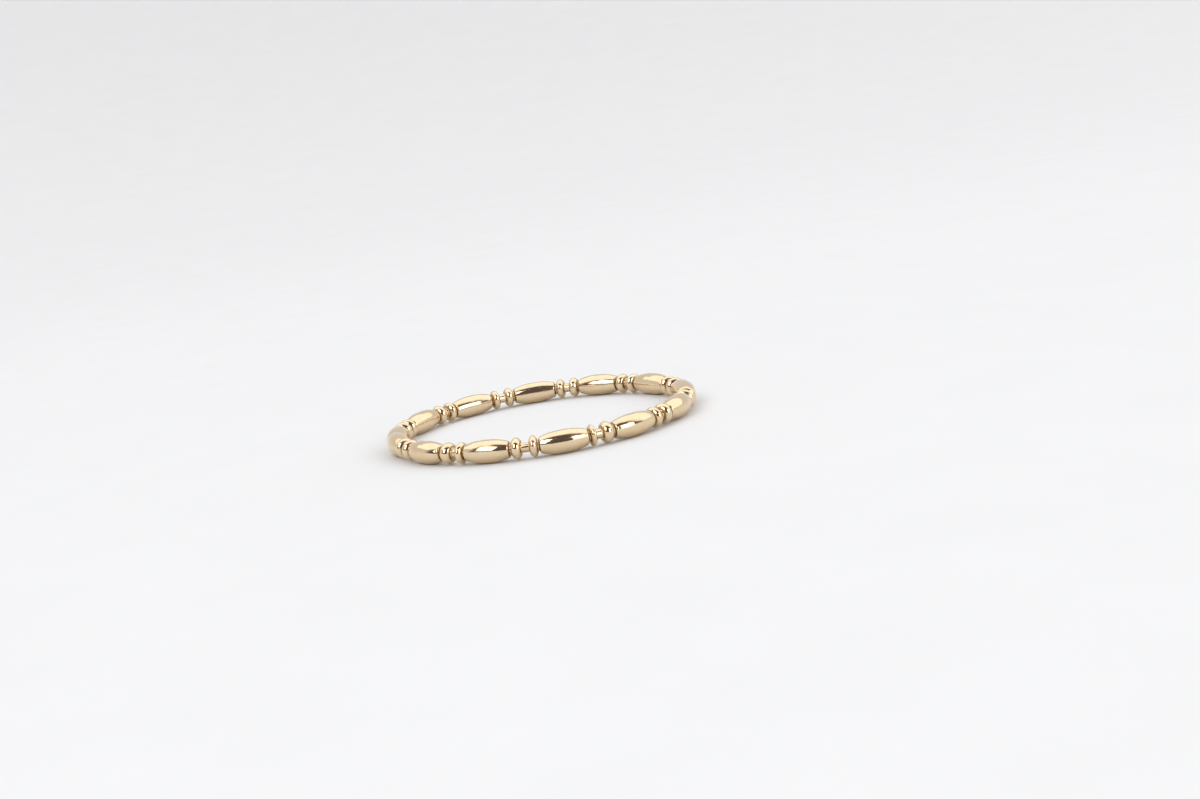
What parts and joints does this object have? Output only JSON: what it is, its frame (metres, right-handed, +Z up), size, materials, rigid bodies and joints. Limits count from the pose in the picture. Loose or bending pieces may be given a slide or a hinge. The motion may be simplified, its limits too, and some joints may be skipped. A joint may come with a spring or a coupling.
{
  "type": "stackable ring",
  "caption": "Slim stackable finger ring: a round gold wire of long oblong beads parted by pairs of small round beads, bent into a circle and soldered shut.",
  "frame": {"origin": "on the floor under the middle of the ring as it lies on its side", "axes": "+Z up along the ring's own axis, -Y towards the picture's camera, -X towards the soldered joint"},
  "size_m": [0.0202, 0.0202, 0.0014],
  "materials": {
    "polished_gold_fill": "polished"
  },
  "bodies": {
    "root": {"bead_wire_band": "polished_gold_fill"}
  },
  "joints": []
}
